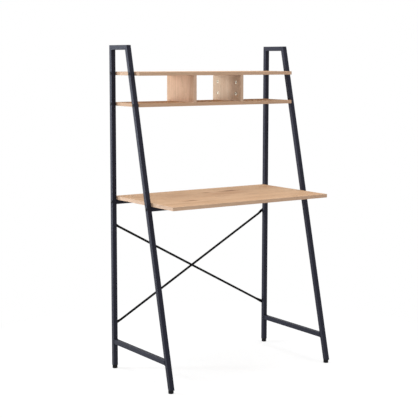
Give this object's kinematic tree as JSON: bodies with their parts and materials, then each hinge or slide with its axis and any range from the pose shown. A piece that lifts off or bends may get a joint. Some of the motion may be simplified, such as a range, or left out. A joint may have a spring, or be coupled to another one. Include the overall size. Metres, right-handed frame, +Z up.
{
  "type": "ladder desk",
  "caption": "Leaning-frame desk of slim square tube with an oak-effect worktop, a divided double shelf above it and crossed brace rods behind; it stands on screw feet.",
  "frame": {"origin": "on the floor, below the middle of the desk's bounding box", "axes": "+X runs along the desk to its right as seen from the front, the front faces -Y, +Z is up"},
  "size_m": [0.8456, 0.4892, 1.4],
  "materials": {
    "frame_paint": "satin powder coat, blue-black",
    "brace_paint": "satin black paint",
    "bolt_black": "black oxide, satin",
    "oak_laminate": "matt oak-effect laminate with matching edge band",
    "dowel_wood": "raw beech",
    "foot_plastic": "matt black plastic",
    "zinc": "bright zinc plate"
  },
  "bodies": {
    "desk": {"left_rear_post": "frame_paint", "left_front_leg": "frame_paint", "left_top_rail": "frame_paint", "left_low_rail": "frame_paint", "right_rear_post": "frame_paint", "right_front_leg": "frame_paint", "right_top_rail": "frame_paint", "right_low_rail": "frame_paint", "rear_crossbar": "frame_paint", "front_crossbar": "frame_paint", "worktop": "oak_laminate", "upper_shelf": "oak_laminate", "lower_shelf": "oak_laminate", "left_divider": "oak_laminate", "right_divider": "oak_laminate", "front_brace_rod": "brace_paint", "rear_brace_rod": "brace_paint", "crossbar_bolts": "bolt_black", "upper_shelf_bolts": "bolt_black", "lower_shelf_bolts": "bolt_black", "brace_bolts": "bolt_black", "crossbar_nut_blocks": "zinc", "upper_shelf_barrel_nuts": "zinc", "lower_shelf_barrel_nuts": "zinc", "brace_rivet_nuts": "zinc", "worktop_screws": "zinc", "cam_locks": "zinc", "cam_pins": "zinc", "foot_plugs": "foot_plastic", "divider_dowels": "dowel_wood"},
    "left_front_foot": {"left_front_foot_pad": "foot_plastic", "left_front_foot_stem": "zinc"},
    "left_rear_foot": {"left_rear_foot_pad": "foot_plastic", "left_rear_foot_stem": "zinc"},
    "right_front_foot": {"right_front_foot_pad": "foot_plastic", "right_front_foot_stem": "zinc"},
    "right_rear_foot": {"right_rear_foot_pad": "foot_plastic", "right_rear_foot_stem": "zinc"}
  },
  "joints": [
    {"name": "left_front_foot_screw", "type": "slide", "parent": "desk", "child": "left_front_foot", "axis": [0, 0, -1], "range_m": [0, 0.012]},
    {"name": "left_rear_foot_screw", "type": "slide", "parent": "desk", "child": "left_rear_foot", "axis": [0, 0, -1], "range_m": [0, 0.012]},
    {"name": "right_front_foot_screw", "type": "slide", "parent": "desk", "child": "right_front_foot", "axis": [0, 0, -1], "range_m": [0, 0.012]},
    {"name": "right_rear_foot_screw", "type": "slide", "parent": "desk", "child": "right_rear_foot", "axis": [0, 0, -1], "range_m": [0, 0.012]}
  ]
}
